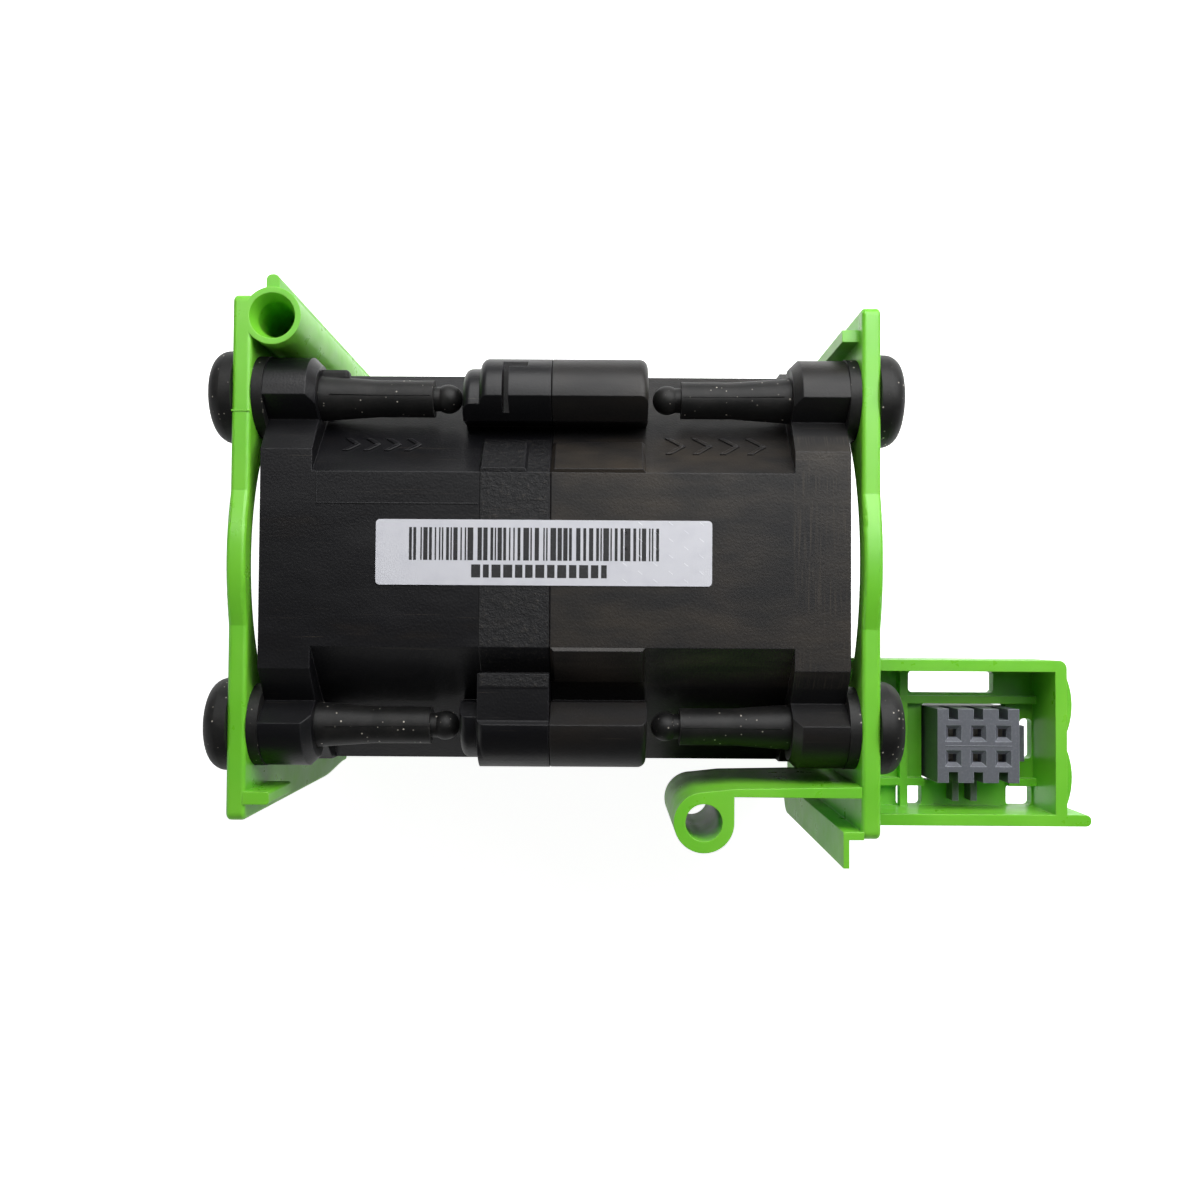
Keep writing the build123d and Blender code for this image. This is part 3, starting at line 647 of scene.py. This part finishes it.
@dataclass(frozen=True)
class BandedSolid(Finish):
    """A piece whose surface is a stack of bands: sheet steel, wound wire or a coated board."""

    name: str
    color: str
    gap_color: str
    roughness: float
    metallic: float = 0.0
    band_mm: float = 0.5
    band_depth_mm: float = 0.05
    waves_per_unit: float = 20.0
    ior: float = 1.5

    def build(self) -> bpy.types.Material:
        """Build the material."""
        material, tree, place = self.start()
        # The texture draws this many waves in one unit of its scale.
        bands = add_node(
            tree, "ShaderNodeTexWave",
            {"Vector": place, "Scale": per_mm(self.band_mm) / self.waves_per_unit,
             "Distortion": 0.4, "Detail": 1.0}, bands_direction="X").outputs["Fac"]
        color = blend_colors(
            tree, mask(tree, bands, 0.35, 0.1), linear(self.color), linear(self.gap_color))
        bump = add_node(
            tree, "ShaderNodeBump",
            {"Height": bands, "Strength": 0.5, "Distance": self.band_depth_mm * MM})
        shader = add_node(
            tree, "ShaderNodeBsdfPrincipled",
            {"Base Color": color, "Metallic": self.metallic, "Roughness": self.roughness,
             "Normal": bump.outputs[0]})
        if self.metallic == 0:
            shader.inputs["IOR"].default_value = self.ior
        self.end(tree, shader)
        return material


def dress(node_name: str, material: bpy.types.Material) -> None:
    """Give a carried-over CAD node its material.

    Args:
        node_name: The node.
        material: Its finish.
    """
    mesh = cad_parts[node_name].data
    mesh.materials.clear()
    mesh.materials.append(material)
    LOG.info("%s dressed in %s", node_name, material.name)


def new_piece(
    name: str, shape: bmesh.types.BMesh, material: bpy.types.Material, body: str
) -> bpy.types.Object:
    """Turn a mesh in millimetres to a piece that rides on a body.

    Args:
        name: The piece's name.
        shape: Its mesh, which is freed.
        material: Its finish.
        body: The CAD body that carries it.

    Returns:
        The new piece.
    """
    bmesh.ops.scale(shape, vec=(MM, MM, MM), verts=shape.verts)
    bmesh.ops.recalc_face_normals(shape, faces=shape.faces)
    mesh = bpy.data.meshes.new(name)
    shape.to_mesh(mesh)
    shape.free()
    mesh.materials.append(material)
    piece = bpy.data.objects.new(name, mesh)
    bpy.context.scene.collection.objects.link(piece)
    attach(piece, body)
    LOG.info("%s made with %d faces", name, len(mesh.polygons))
    return piece


def raised_outline(
    shape: bmesh.types.BMesh, outline: list[Pair], height: float, place: Matrix,
    draft: float = 0.0,
) -> None:
    """Add a flat outline raised from a surface, with drafted sides and no underside.

    Args:
        shape: The mesh that gets it.
        outline: Its corners in the surface's own plane.
        height: How far it stands up.
        place: The plane's place.
        draft: How far the top is drawn in.
    """
    middle = Vector((
        sum(x for x, _ in outline) / len(outline), sum(y for _, y in outline) / len(outline)))
    low = [shape.verts.new(place @ Vector((x, y, 0))) for x, y in outline]
    top = []
    for x, y in outline:
        inward = middle - Vector((x, y))
        shift = inward.normalized() * min(draft, inward.length / 2)
        top.append(shape.verts.new(place @ Vector((x + shift.x, y + shift.y, height))))
    shape.faces.new(top)
    for index, vert in enumerate(low):
        following = (index + 1) % len(low)
        shape.faces.new((vert, low[following], top[following], top[index]))


@dataclass
class Carrier:
    """The lime moulding that holds the fan."""

    nodes: tuple[str, ...] = (
        "carrier_inlet_wall", "carrier_outlet_wall", "carrier_guide_arm", "carrier_bridge",
        "carrier_connector_cage")
    finish: MouldedAbs = field(default_factory=MouldedAbs)
    wall_thickness: float = 1.8
    witness_y: float = 14.0
    witness_width: float = 0.16
    witness_rise: float = 0.05
    witness_draft: float = 0.03

    def build(self) -> None:
        """Dress the moulding and add its parting line."""
        material = self.finish.build()
        for node_name in self.nodes:
            dress(node_name, material)
        self.witness_line(material)

    def witness_line(self, material: bpy.types.Material) -> None:
        """Add the fine ridge that the split of the mould leaves on the inlet wall's edge.

        Args:
            material: The moulding's finish.
        """
        outer_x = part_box("carrier_inlet_wall")[0][0] / MM
        near_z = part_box("inlet_housing")[1][2] / MM
        reach = self.wall_thickness / 2
        width = self.witness_width / 2
        outline = [(-reach, -width), (reach, -width), (reach, width), (-reach, width)]
        shape = bmesh.new()
        raised_outline(
            shape, outline, self.witness_rise,
            Matrix.Translation((outer_x + reach, self.witness_y, near_z)),
            self.witness_draft)
        new_piece("carrier_witness_line", shape, material, "module")


@dataclass
class Housings:
    """The two black housings, with moulded flow arrows on their upper slopes."""

    axis_z: float = 22.1
    half: float = 20.0
    arrow_up: float = -4.1
    arrow_stroke: float = 0.42
    arrow_rise: float = 0.16
    arrow_draft: float = 0.07
    arrow_length: float = 0.55
    arrow_count: int = 4
    inlet_run: Pair = (-20.8, -12.8)
    inlet_height: float = 2.0
    outlet_run: Pair = (10.5, 21.0)
    outlet_height: float = 2.6
    pad_rise: float = 0.35
    pad_reach: float = 4.6
    inlet_pad: Pair = (-7.3, -2.7)
    outlet_pad: Pair = (-0.4, 8.6)
    insert_run: Pair = (-22.7, -7.3)
    insert_y: float = 5.2
    insert_width: float = 0.14
    insert_rise: float = 0.05

    def build(self) -> None:
        """Dress the housings and impellers and add the arrows."""
        # The inlet's colour is painted a little darker as painted shade; the outlet's stronger
        # warm haze is partly rubbing and partly painted sheen.
        inlet = MouldedPbt(
            name="pbt_black_banded", color="0E0E11", rub_and_sheen_share=0.12, roughness=0.36,
            textured_band=(-7.2, -0.5)).build()
        outlet = MouldedPbt(
            name="pbt_black_rubbed_and_sheen", rub_and_sheen_color="3B352E", rub_and_sheen_share=0.85,
            streaky_band=(22.4, 28.2)).build()
        impeller = MouldedPbt(
            name="pbt_black_blades", rub_and_sheen_color="24221F", roughness=0.36,
            rub_and_sheen_share=0.1).build()
        dress("inlet_housing", inlet)
        dress("outlet_housing", outlet)
        for end in End:
            dress(f"{end.value}_impeller", impeller)
        self.arrows(End.INLET, self.inlet_run, self.inlet_height, inlet)
        self.arrows(End.OUTLET, self.outlet_run, self.outlet_height, outlet)
        self.joint_pad(End.INLET, "upper", self.inlet_pad, 1, inlet)
        self.joint_pad(End.OUTLET, "upper", self.outlet_pad, 1, outlet)
        self.joint_pad(End.OUTLET, "lower", self.outlet_pad, -1, outlet)
        self.insert_line(inlet)

    def joint_pad(
        self, end: End, edge: str, run: Pair, side: int, material: bpy.types.Material
    ) -> None:
        """Add the shallow pad that runs from a joint boss down its slope to the near flat.

        Args:
            end: The housing.
            edge: The slope's name.
            run: Where the pad starts and ends along the fan.
            side: 1 on the upper slope, -1 on the lower one.
            material: The housing's finish.
        """
        start, stop = run
        foot = -self.half * math.tan(SLOPE / 2)
        outline = [
            (start, foot), (stop, foot), (stop, foot + self.pad_reach),
            (start, foot + self.pad_reach)]
        if side < 0:
            outline.reverse()
        mirror = Matrix.Diagonal((1, side, 1, 1))
        shape = bmesh.new()
        raised_outline(shape, outline, self.pad_rise, mirror @ self.slope(0, 0), self.pad_rise)
        new_piece(f"{end.value}_{edge}_joint_pad", shape, material, "module")

    def insert_line(self, material: bpy.types.Material) -> None:
        """Add the fine line that an insert in the mould leaves on the inlet's near flat.

        Args:
            material: The housing's finish.
        """
        start, stop = self.insert_run
        width = self.insert_width
        edge = self.half * math.tan(SLOPE / 2) - self.insert_y
        outline = [
            (start, 0), (stop, 0), (stop, width), (start + width, width), (start + width, edge),
            (start, edge)]
        shape = bmesh.new()
        raised_outline(
            shape, outline, self.insert_rise,
            Matrix.Translation((0, self.insert_y, self.axis_z + self.half)))
        new_piece("inlet_insert_line", shape, material, "module")

    def slope(self, x: float, up: float) -> Matrix:
        """Place of a point on the upper near slope of the barrel.

        Args:
            x: Place along the fan.
            up: Distance from the slope's middle line, towards its upper edge.

        Returns:
            The place, whose Z stands out of the slope.
        """
        corner = self.half * math.tan(SLOPE / 2)
        middle = (self.half + corner) / 2
        shift = up * math.cos(SLOPE)
        return Matrix.Translation(
            (x, middle + shift, self.axis_z + middle - shift)
        ) @ Matrix.Rotation(-SLOPE, 4, "X")

    def arrows(
        self, end: End, run: Pair, height: float, material: bpy.types.Material
    ) -> None:
        """Add one row of chevrons that point downstream.

        Args:
            end: The housing.
            run: Where the row starts and ends along the fan.
            height: The chevrons' height up the slope.
            material: The housing's finish.
        """
        shape = bmesh.new()
        start, stop = run
        pitch = (stop - start) / self.arrow_count
        tip = pitch * self.arrow_length
        stroke = self.arrow_stroke * math.sqrt(2)
        for index in range(self.arrow_count):
            place = self.slope(start + index * pitch, self.arrow_up)
            for side in (-1, 1):
                outline = [
                    (0.0, side * height / 2), (stroke, side * height / 2), (tip + stroke, 0.0),
                    (tip, 0.0)]
                raised_outline(
                    shape, outline[::side], self.arrow_rise, place, self.arrow_draft)
        new_piece(f"{end.value}_flow_arrows", shape, material, "module")


@dataclass
class Isolators:
    """The eight rubber isolators."""

    finish: DustyRubber = field(default_factory=DustyRubber)
    tab_from: Triple = (-23.9, 17.7, 37.3)
    tab_size: Triple = (3.4, 1.1, 1.3)
    tab_rounding: float = 0.35
    tab_segments: int = 3
    hole_offset: float = 16.0
    hole_drop: float = 4.0
    shank_radius: float = 2.2
    tail_radius: float = 1.8
    flash_from: float = 22.0
    flash_bend: float = 17.4
    flash_to: float = 12.3
    flash_width: float = 0.09
    flash_rise: float = 0.05
    flash_sink: float = 0.03

    def build(self) -> None:
        """Dress the isolators and add the flash lines and the tab that pulled one through."""
        material = self.finish.build()
        for end in End:
            dress(f"{end.value}_isolators", material)
        self.pull_tab(material)
        for end, side in ((End.INLET, -1), (End.OUTLET, 1)):
            self.flash_lines(end, side, material)

    def flash_lines(self, end: End, side: int, material: bpy.types.Material) -> None:
        """Add the thin flash that the mould's split leaves along the two near shanks.

        Args:
            end: The fan's end.
            side: -1 at the inlet, 1 at the outlet.
            material: The rubber.
        """
        shape = bmesh.new()
        stations = (
            (self.flash_from, self.shank_radius), (self.flash_bend, self.tail_radius),
            (self.flash_to, self.tail_radius))
        hole_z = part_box("inlet_housing")[1][2] / MM - self.hole_drop
        reach = self.flash_width / 2
        ridge = ((-reach, -self.flash_sink), (0, self.flash_rise), (reach, -self.flash_sink))
        for y in (-self.hole_offset, self.hole_offset):
            rows = [
                [shape.verts.new((side * x, y + across, hole_z + radius + rise))
                 for across, rise in ridge]
                for x, radius in stations]
            for near, far in zip(rows, rows[1:]):
                for index in range(len(ridge) - 1):
                    shape.faces.new(
                        (near[index], near[index + 1], far[index + 1], far[index]))
        new_piece(f"{end.value}_shank_flash", shape, material, "module")

    def pull_tab(self, material: bpy.types.Material) -> None:
        """Add the short rubber tab beside the inlet's upper near shank.

        Args:
            material: The rubber.
        """
        shape = bmesh.new()
        bmesh.ops.create_cube(shape, size=1.0)
        bmesh.ops.scale(shape, vec=self.tab_size, verts=shape.verts)
        bmesh.ops.bevel(
            shape, geom=shape.edges[:], offset=self.tab_rounding,
            segments=self.tab_segments, affect="EDGES", profile=0.5)
        middle = [start + size / 2 for start, size in zip(self.tab_from, self.tab_size)]
        bmesh.ops.translate(shape, vec=middle, verts=shape.verts)
        new_piece("inlet_pull_tab", shape, material, "module")


@dataclass
class Receptacle:
    """The grey receptacle, with the mould's split across its face, and its sockets."""

    line_width: float = 0.1
    line_rise: float = 0.03
    edge_margin: float = 0.05

    def build(self) -> None:
        """Dress both and add the split."""
        plastic = ReceptaclePlastic().build()
        dress("connector_housing", plastic)
        dress("contact_sockets", WorkedMetal(
            "tin_plated_bronze", "B9B6AE", "8E8A80", 0.35).build())
        low, high = (Vector(corner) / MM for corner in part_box("contact_sockets"))
        middle = (low + high) / 2
        reach = (high.x - low.x) / 2 + self.edge_margin
        half = self.line_width / 2
        outline = [(-reach, -half), (reach, -half), (reach, half), (-reach, half)]
        face_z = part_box("connector_housing")[1][2] / MM
        shape = bmesh.new()
        raised_outline(
            shape, outline, self.line_rise, Matrix.Translation((middle.x, middle.y, face_z)),
            self.line_rise)
        new_piece("receptacle_split_line", shape, plastic, "module")


@dataclass
class Label:
    """The white label with a made-up bar pattern, a greeked line and slits at one end."""

    seed: int = 7
    top_z: float = 42.2
    bars: Pair = (-13.8, 9.9)
    bar_low: float = -0.1
    bar_high: float = 3.0
    bar_unit: float = 0.135
    bar_widths: tuple[int, ...] = (1, 1, 2, 2, 3, 4)
    bar_gaps: tuple[int, ...] = (1, 1, 1, 2, 2, 3)
    line: Pair = (-7.9, 4.9)
    line_low: float = -1.73
    line_high: float = -0.5
    line_widths: Triple = (0.55, 0.7, 0.85)
    line_gap: float = 0.26
    ink_rise: float = 0.012
    slit_columns: int = 6
    slit_rows: int = 4
    slit_from: Pair = (6.6, -1.95)
    slit_pitch: Pair = (1.45, 1.55)
    slit_stagger: float = 0.78
    slit_turn: float = -35.0
    slit_outline: tuple[Pair, ...] = ((-0.3, 0.04), (-0.22, -0.03), (0.3, -0.06), (0.22, 0.03))

    def build(self) -> None:
        """Dress the label and add its print and slits."""
        dress("label", LabelFilm().build())
        ink = ThermalInk().build()
        new_piece("label_bars", self.print_shape(), ink, "module")
        # The slits are painted paler than the film, a painted highlight where their cut edges
        # catch the light.
        gloss = LabelFilm(
            name="polyester_slit_edges", color="F4F5FA", mottle_color="E8E9F2", roughness=0.15)
        new_piece("label_slits", self.slit_shape(), gloss.build(), "module")

    def sheet_place(self, x: float, y: float) -> Matrix:
        """Place of a point on the label's face, from the fan's middle."""
        return Matrix.Translation((x, y, self.top_z))

    def block(
        self, shape: bmesh.types.BMesh, x: float, y: float, width: float, height: float
    ) -> None:
        """Add one printed block by its lower left corner and its size."""
        outline = [(0, 0), (width, 0), (width, height), (0, height)]
        raised_outline(shape, outline, self.ink_rise, self.sheet_place(x, y))

    def print_shape(self) -> bmesh.types.BMesh:
        """Make the printed pattern."""
        shape = bmesh.new()
        chance = random.Random(self.seed)
        x, end = self.bars
        while x < end:
            width = min(chance.choice(self.bar_widths) * self.bar_unit, end - x)
            self.block(shape, x, self.bar_low, width, self.bar_high - self.bar_low)
            x += width + chance.choice(self.bar_gaps) * self.bar_unit
        x, end = self.line
        while x < end:
            width = min(chance.choice(self.line_widths), end - x)
            self.block(shape, x, self.line_low, width, self.line_high - self.line_low)
            x += width + self.line_gap
        return shape

    def slit_shape(self) -> bmesh.types.BMesh:
        """Make the staggered slits that keep the label from being peeled whole."""
        shape = bmesh.new()
        turned = Matrix.Rotation(math.radians(self.slit_turn), 4, "Z")
        for column in range(self.slit_columns):
            for row in range(self.slit_rows):
                x = self.slit_from[0] + column * self.slit_pitch[0]
                stagger = self.slit_stagger if column % 2 else 0.0
                y = self.slit_from[1] + row * self.slit_pitch[1] + stagger
                raised_outline(
                    shape, list(self.slit_outline), self.ink_rise,
                    self.sheet_place(x, y) @ turned)
        return shape


@dataclass
class Motors:
    """The two motors inside the hubs."""

    def build(self) -> None:
        """Dress every motor piece of both ends."""
        finishes = {
            "rotor_cup": WorkedMetal("zinc_plated_steel_drawn", "A9ABAE", "8C8F94", 0.32),
            "shaft": WorkedMetal("hardened_steel_ground", "C3C4C6", "A4A6A9", 0.16, 0.05),
            "retaining_clip": WorkedMetal("spring_steel_punched", "8E8F92", "6D6F73", 0.3),
            "preload_spring": WorkedMetal("spring_steel_wire", "9A9B9E", "77797D", 0.25, 0.1),
            "bearings": WorkedMetal("bearing_steel_ground", "B4B6B9", "9B9DA1", 0.2, 0.08),
            "bearing_tube": WorkedMetal("brass_turned", "C9A24E", "A88236", 0.28, 0.1),
            "magnet_ring": BandedSolid(
                "bonded_ferrite_moulded", "2A292A", "1C1B1C", 0.6, band_mm=2.5),
            "stator_core": BandedSolid(
                "silicon_steel_stacked", "6E7076", "34353A", 0.42, 1.0, 0.5),
            "stator_coils": BandedSolid(
                "copper_wire_enamelled", "B0602C", "5A2A12", 0.3, 0.6, 0.3),
            "circuit_board": BandedSolid(
                "solder_mask_green_sprayed", "14582C", "0E4221", 0.35, band_mm=1.2),
        }
        for piece, finish in finishes.items():
            material = finish.build()
            for end in End:
                dress(f"{end.value}_{piece}", material)


@dataclass(frozen=True)
class Lamp:
    """One soft rectangular lamp."""

    name: str
    place: Triple
    size: Pair
    watts: float
    lights_matt: bool = True
    shows_in_gloss: bool = True


# The sheen lamps stand for the bright ceiling that glossy faces mirror. The fill lamp stands for
# the light of the room on the side away from the key.
LAMPS = (
    Lamp("key_lamp", (60, 130, 150), (300, 150), 0.64),
    Lamp("sheen_lamp", (0, 185, 470), (480, 110), 0.58, lights_matt=False),
    Lamp("outlet_sheen_lamp", (125, 105, 470), (160, 100), 0.16, lights_matt=False),
    Lamp("fill_lamp", (40, -330, 70), (400, 250), 0.3, shows_in_gloss=False),
    Lamp("side_lamp", (-380, -140, 170), (260, 260), 0.2),
)


@dataclass
class Studio:
    """The pale floor, the soft lamps, the world and the photograph's camera."""

    eye: Triple = (4.42, -6.48, 147.1)
    tilt: Triple = (-0.0257, -0.0013, -0.0066)
    focal_px: float = 1112.16
    frame_px: float = 1200.0
    sensor: float = 36.0
    clip_near: float = 5.0
    clip_far: float = 20000.0
    aim: Triple = (0, 0, 22)
    floor_size: float = 2400.0
    floor_drop: float = 0.02
    floor_color: str = "F4F4F4"
    floor_glow: float = 0.85
    floor_sheen: float = 0.35
    walls_strength: float = 0.2
    ceiling_strength: float = 0.04
    ceiling_height: float = 0.9

    def build(self) -> None:
        """Set up the whole studio."""
        self.floor()
        self.world()
        for lamp in LAMPS:
            self.hang(lamp)
        self.camera()
        bpy.context.scene.view_settings.view_transform = "Standard"

    def camera(self) -> None:
        """Place the camera where the photograph was taken."""
        data = bpy.data.cameras.new("photo_camera")
        data.sensor_width = self.sensor
        data.sensor_fit = "HORIZONTAL"
        data.lens = self.sensor * self.focal_px / self.frame_px
        data.clip_start = self.clip_near * MM
        data.clip_end = self.clip_far * MM
        camera = bpy.data.objects.new("photo_camera", data)
        tilt_x, tilt_y, tilt_z = self.tilt
        turn = (
            Matrix.Rotation(tilt_z, 3, "Z") @ Matrix.Rotation(tilt_x, 3, "X")
            @ Matrix.Rotation(tilt_y, 3, "Y"))
        camera.matrix_world = (
            Matrix.Translation(Vector(self.eye) * MM) @ turn.transposed().to_4x4())
        bpy.context.scene.collection.objects.link(camera)
        bpy.context.scene.camera = camera

    def hang(self, lamp: Lamp) -> None:
        """Hang one lamp so that it points at the fan.

        Args:
            lamp: The lamp.
        """
        data = bpy.data.lights.new(lamp.name, "AREA")
        data.shape = "RECTANGLE"
        data.size, data.size_y = (side * MM for side in lamp.size)
        data.energy = lamp.watts
        holder = bpy.data.objects.new(lamp.name, data)
        holder.location = Vector(lamp.place) * MM
        aim = Vector(self.aim) * MM - holder.location
        holder.rotation_euler = aim.to_track_quat("-Z", "Y").to_euler()
        holder.visible_diffuse = lamp.lights_matt
        holder.visible_glossy = lamp.shows_in_gloss
        bpy.context.scene.collection.objects.link(holder)

    def white_to_rays(
        self, tree: bpy.types.NodeTree, lit: bpy.types.NodeSocket
    ) -> bpy.types.NodeSocket:
        """Lift a shader towards white for what the camera, gloss and glass see.

        Args:
            tree: The tree.
            lit: The shader that light falls on.

        Returns:
            The shader for the output.
        """
        path = add_node(tree, "ShaderNodeLightPath")
        strength = add_node(
            tree, "ShaderNodeMath",
            {0: path.outputs["Is Camera Ray"], 1: self.floor_glow},
            operation="MULTIPLY").outputs[0]
        for name in ("Is Glossy Ray", "Is Transmission Ray"):
            strength = add_node(
                tree, "ShaderNodeMath",
                {0: path.outputs[name], 1: self.floor_sheen, 2: strength},
                operation="MULTIPLY_ADD").outputs[0]
        glow = add_node(
            tree, "ShaderNodeEmission", {"Color": (1, 1, 1, 1), "Strength": strength})
        return add_node(
            tree, "ShaderNodeAddShader", {0: lit, 1: glow.outputs[0]}).outputs[0]

    def floor(self) -> None:
        """Lay the floor just under the bridge."""
        shape = bmesh.new()
        bmesh.ops.create_grid(shape, x_segments=1, y_segments=1, size=self.floor_size / 2)
        bmesh.ops.translate(shape, vec=(0, 0, -self.floor_drop), verts=shape.verts)
        bmesh.ops.scale(shape, vec=(MM, MM, MM), verts=shape.verts)
        mesh = bpy.data.meshes.new("studio_floor")
        shape.to_mesh(mesh)
        shape.free()
        material = bpy.data.materials.new("studio_paper")
        material.use_nodes = True
        tree = material.node_tree
        tree.nodes.clear()
        paper = add_node(
            tree, "ShaderNodeBsdfDiffuse", {"Color": linear(self.floor_color)})
        shader = self.white_to_rays(tree, paper.outputs[0])
        add_node(tree, "ShaderNodeOutputMaterial", {"Surface": shader})
        mesh.materials.append(material)
        floor = bpy.data.objects.new("studio_floor", mesh)
        bpy.context.scene.collection.objects.link(floor)

    def world(self) -> None:
        """Make the room: pale walls, a dim ceiling, and white where it is seen directly."""
        world = bpy.data.worlds.new("studio_room")
        world.use_nodes = True
        tree = world.node_tree
        tree.nodes.clear()
        direction = add_node(tree, "ShaderNodeTexCoord").outputs["Generated"]
        height = add_node(tree, "ShaderNodeSeparateXYZ", {0: direction}).outputs[2]
        room = add_node(
            tree, "ShaderNodeMapRange",
            {"Value": height, "From Max": self.ceiling_height,
             "To Min": self.walls_strength, "To Max": self.ceiling_strength}).outputs[0]
        path = add_node(tree, "ShaderNodeLightPath")
        seen = add_node(
            tree, "ShaderNodeMath",
            {0: path.outputs["Is Camera Ray"], 1: path.outputs["Is Transmission Ray"]},
            operation="MAXIMUM").outputs[0]
        strength = add_node(
            tree, "ShaderNodeMix", {0: seen, 2: room, 3: 1.0}, data_type="FLOAT").outputs[0]
        light = add_node(
            tree, "ShaderNodeBackground", {"Color": (1, 1, 1, 1), "Strength": strength})
        add_node(tree, "ShaderNodeOutputWorld", {"Surface": light.outputs[0]})
        bpy.context.scene.world = world


def main() -> None:
    """Build every sub-assembly in order, then the studio."""
    logging.basicConfig(level=logging.INFO)
    for part in (Carrier(), Housings(), Isolators(), Receptacle(), Label(), Motors(), Studio()):
        part.build()


if __name__ == "__main__":
    main()
